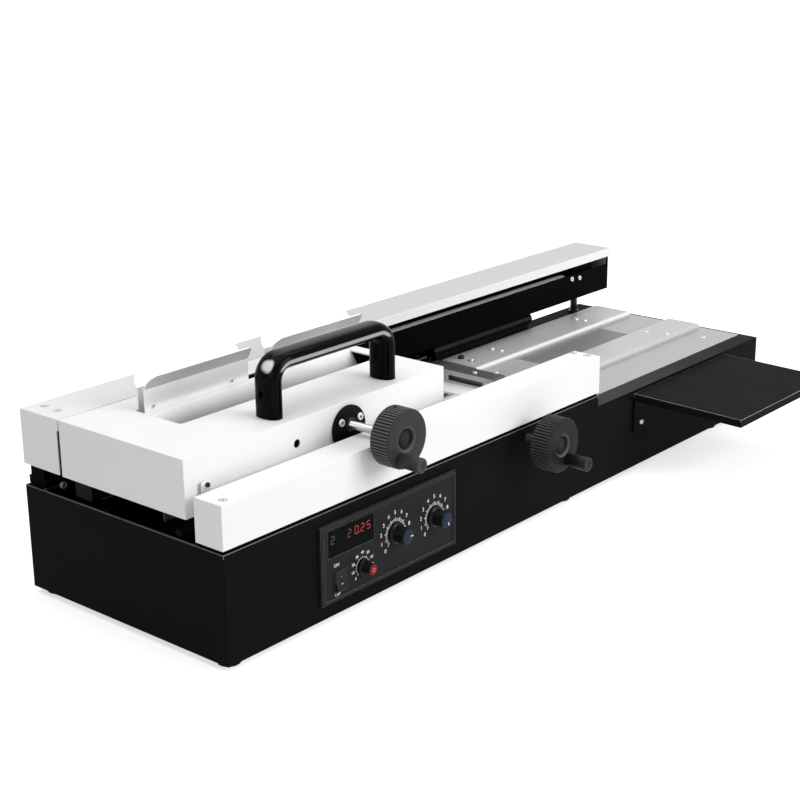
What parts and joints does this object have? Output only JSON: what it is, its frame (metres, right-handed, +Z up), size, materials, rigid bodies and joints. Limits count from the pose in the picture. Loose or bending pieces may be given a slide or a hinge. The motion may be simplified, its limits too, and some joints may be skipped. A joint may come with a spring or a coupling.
{
  "type": "perfect binding machine",
  "caption": "Bench-top perfect binding machine: a book clamp carriage slides along a rear beam past a milling cutter and glue roller to a cover nip station.",
  "frame": {"origin": "centre of the footprint's bounding box, on the bench plane under the rubber feet", "axes": "+X along the machine from the loading place to the nip station, +Y from the operator to the rear beam, +Z up"},
  "size_m": [1.028, 0.4544, 0.2748],
  "materials": {
    "black_paint": "fine-textured black powder coat",
    "white_paint": "satin white powder coat",
    "dark_paint": "dark grey enamel",
    "plated_steel": "zinc-plated and brushed",
    "polished_steel": "ground and polished",
    "aluminium": "milled and satin anodised",
    "black_plastic": "fine-grained moulded",
    "gloss_black": "gloss moulded",
    "rubber": "matt moulded",
    "display_filter": "clear dark red filter",
    "circuit_board": "green solder resist"
  },
  "bodies": {
    "base": {"base_chassis": "black_paint", "floor_plate": "black_paint", "deck_plate": "black_paint", "table_plate": "plated_steel", "platen": "plated_steel", "rear_nip_plate": "aluminium", "station_bracket": "dark_paint", "front_bar_cover": "white_paint", "front_bar_support": "black_paint", "beam_cover": "white_paint", "beam_channel": "black_paint", "guide_shaft": "polished_steel", "shaft_support_left": "aluminium", "shaft_support_right": "black_paint", "beam_bracket_left": "black_paint", "beam_post_right": "polished_steel", "cover_stop_bar": "black_paint", "jogging_plate": "plated_steel", "front_rail": "dark_paint", "cutter_motor": "dark_paint", "glue_tank": "white_paint", "heater_plate": "dark_paint", "gear_motor": "dark_paint", "control_panel": "black_plastic", "display_window": "display_filter", "control_board": "circuit_board", "front_leaf": "black_paint", "power_inlet": "black_plastic", "foot_front_left": "rubber", "foot_front_middle": "rubber", "foot_front_right": "rubber", "foot_rear_left": "rubber", "foot_rear_middle": "rubber", "foot_rear_right": "rubber"},
    "carriage": {"carriage_cover": "white_paint", "clamp_frame": "dark_paint", "rear_jaw": "dark_paint", "rear_guide_left": "polished_steel", "rear_guide_right": "polished_steel", "bush_block_left": "aluminium", "bush_block_right": "aluminium", "nut_flange": "black_paint", "carriage_handle": "gloss_black"},
    "front_jaw": {"front_jaw": "aluminium", "front_guide_left": "polished_steel", "front_guide_right": "polished_steel"},
    "clamp_screw": {"clamp_screw": "polished_steel", "clamp_handwheel": "black_plastic"},
    "clamp_crank": {"clamp_crank_knob": "black_plastic"},
    "nip_screw": {"nip_screw": "polished_steel", "nip_handwheel": "black_plastic"},
    "nip_crank": {"nip_crank_knob": "black_plastic"},
    "front_nip": {"front_nip_plate": "aluminium"},
    "heat_knob": {"heat_knob": "black_plastic"},
    "dial_knob_left": {"dial_knob_left": "black_plastic"},
    "dial_knob_right": {"dial_knob_right": "black_plastic"},
    "power_rocker": {"power_rocker": "gloss_black"},
    "glue_roller": {"glue_roller": "polished_steel"},
    "milling_cutter": {"milling_cutter": "polished_steel"}
  },
  "joints": [
    {"name": "carriage_slide", "type": "slide", "parent": "base", "child": "carriage", "axis": [1, 0, 0], "range_m": [0, 0.58]},
    {"name": "front_jaw_slide", "type": "slide", "parent": "carriage", "child": "front_jaw", "axis": [0, 1, 0], "range_m": [-0.03, 0.007]},
    {"name": "clamp_screw_turn", "type": "hinge", "parent": "front_jaw", "child": "clamp_screw", "pos_m": [-0.2821, -0.09625, 0.1826], "axis": [0, 1, 0], "range_deg": [-2160, 504]},
    {"name": "clamp_crank_spin", "type": "hinge", "parent": "clamp_screw", "child": "clamp_crank", "pos_m": [-0.29297, -0.11925, 0.16347], "axis": [0, 1, 0], "continuous": true},
    {"name": "front_nip_slide", "type": "slide", "parent": "base", "child": "front_nip", "axis": [0, 1, 0], "range_m": [0, 0.05]},
    {"name": "nip_screw_turn", "type": "hinge", "parent": "base", "child": "nip_screw", "pos_m": [-0.0305, -0.11525, 0.1103], "axis": [0, 1, 0], "range_deg": [0, 3600]},
    {"name": "nip_crank_spin", "type": "hinge", "parent": "nip_screw", "child": "nip_crank", "pos_m": [-0.02017, -0.13825, 0.09087], "axis": [0, 1, 0], "continuous": true},
    {"name": "heat_knob_turn", "type": "hinge", "parent": "base", "child": "heat_knob", "pos_m": [-0.323, -0.08525, 0.0487], "axis": [0, 1, 0], "range_deg": [-170, 100]},
    {"name": "left_dial_turn", "type": "hinge", "parent": "base", "child": "dial_knob_left", "pos_m": [-0.2705, -0.08725, 0.0691], "axis": [0, 1, 0], "range_deg": [-230, 40]},
    {"name": "right_dial_turn", "type": "hinge", "parent": "base", "child": "dial_knob_right", "pos_m": [-0.2055, -0.08725, 0.0673], "axis": [0, 1, 0], "range_deg": [-250, 20]},
    {"name": "power_rocker_tilt", "type": "hinge", "parent": "base", "child": "power_rocker", "pos_m": [-0.357, -0.07625, 0.0446], "axis": [1, 0, 0], "range_deg": [0, 16]},
    {"name": "glue_roller_turn", "type": "hinge", "parent": "base", "child": "glue_roller", "pos_m": [0.006, 0.12675, 0.0993], "axis": [0, 1, 0], "continuous": true},
    {"name": "milling_cutter_turn", "type": "hinge", "parent": "base", "child": "milling_cutter", "pos_m": [-0.089, 0.11725, 0.1133], "axis": [0, 0, 1], "continuous": true}
  ],
  "couplings": [
    {"joint": "clamp_screw_turn", "follows": "front_jaw_slide", "rad_per_m": 1256.6},
    {"joint": "nip_screw_turn", "follows": "front_nip_slide", "rad_per_m": 1256.6}
  ]
}
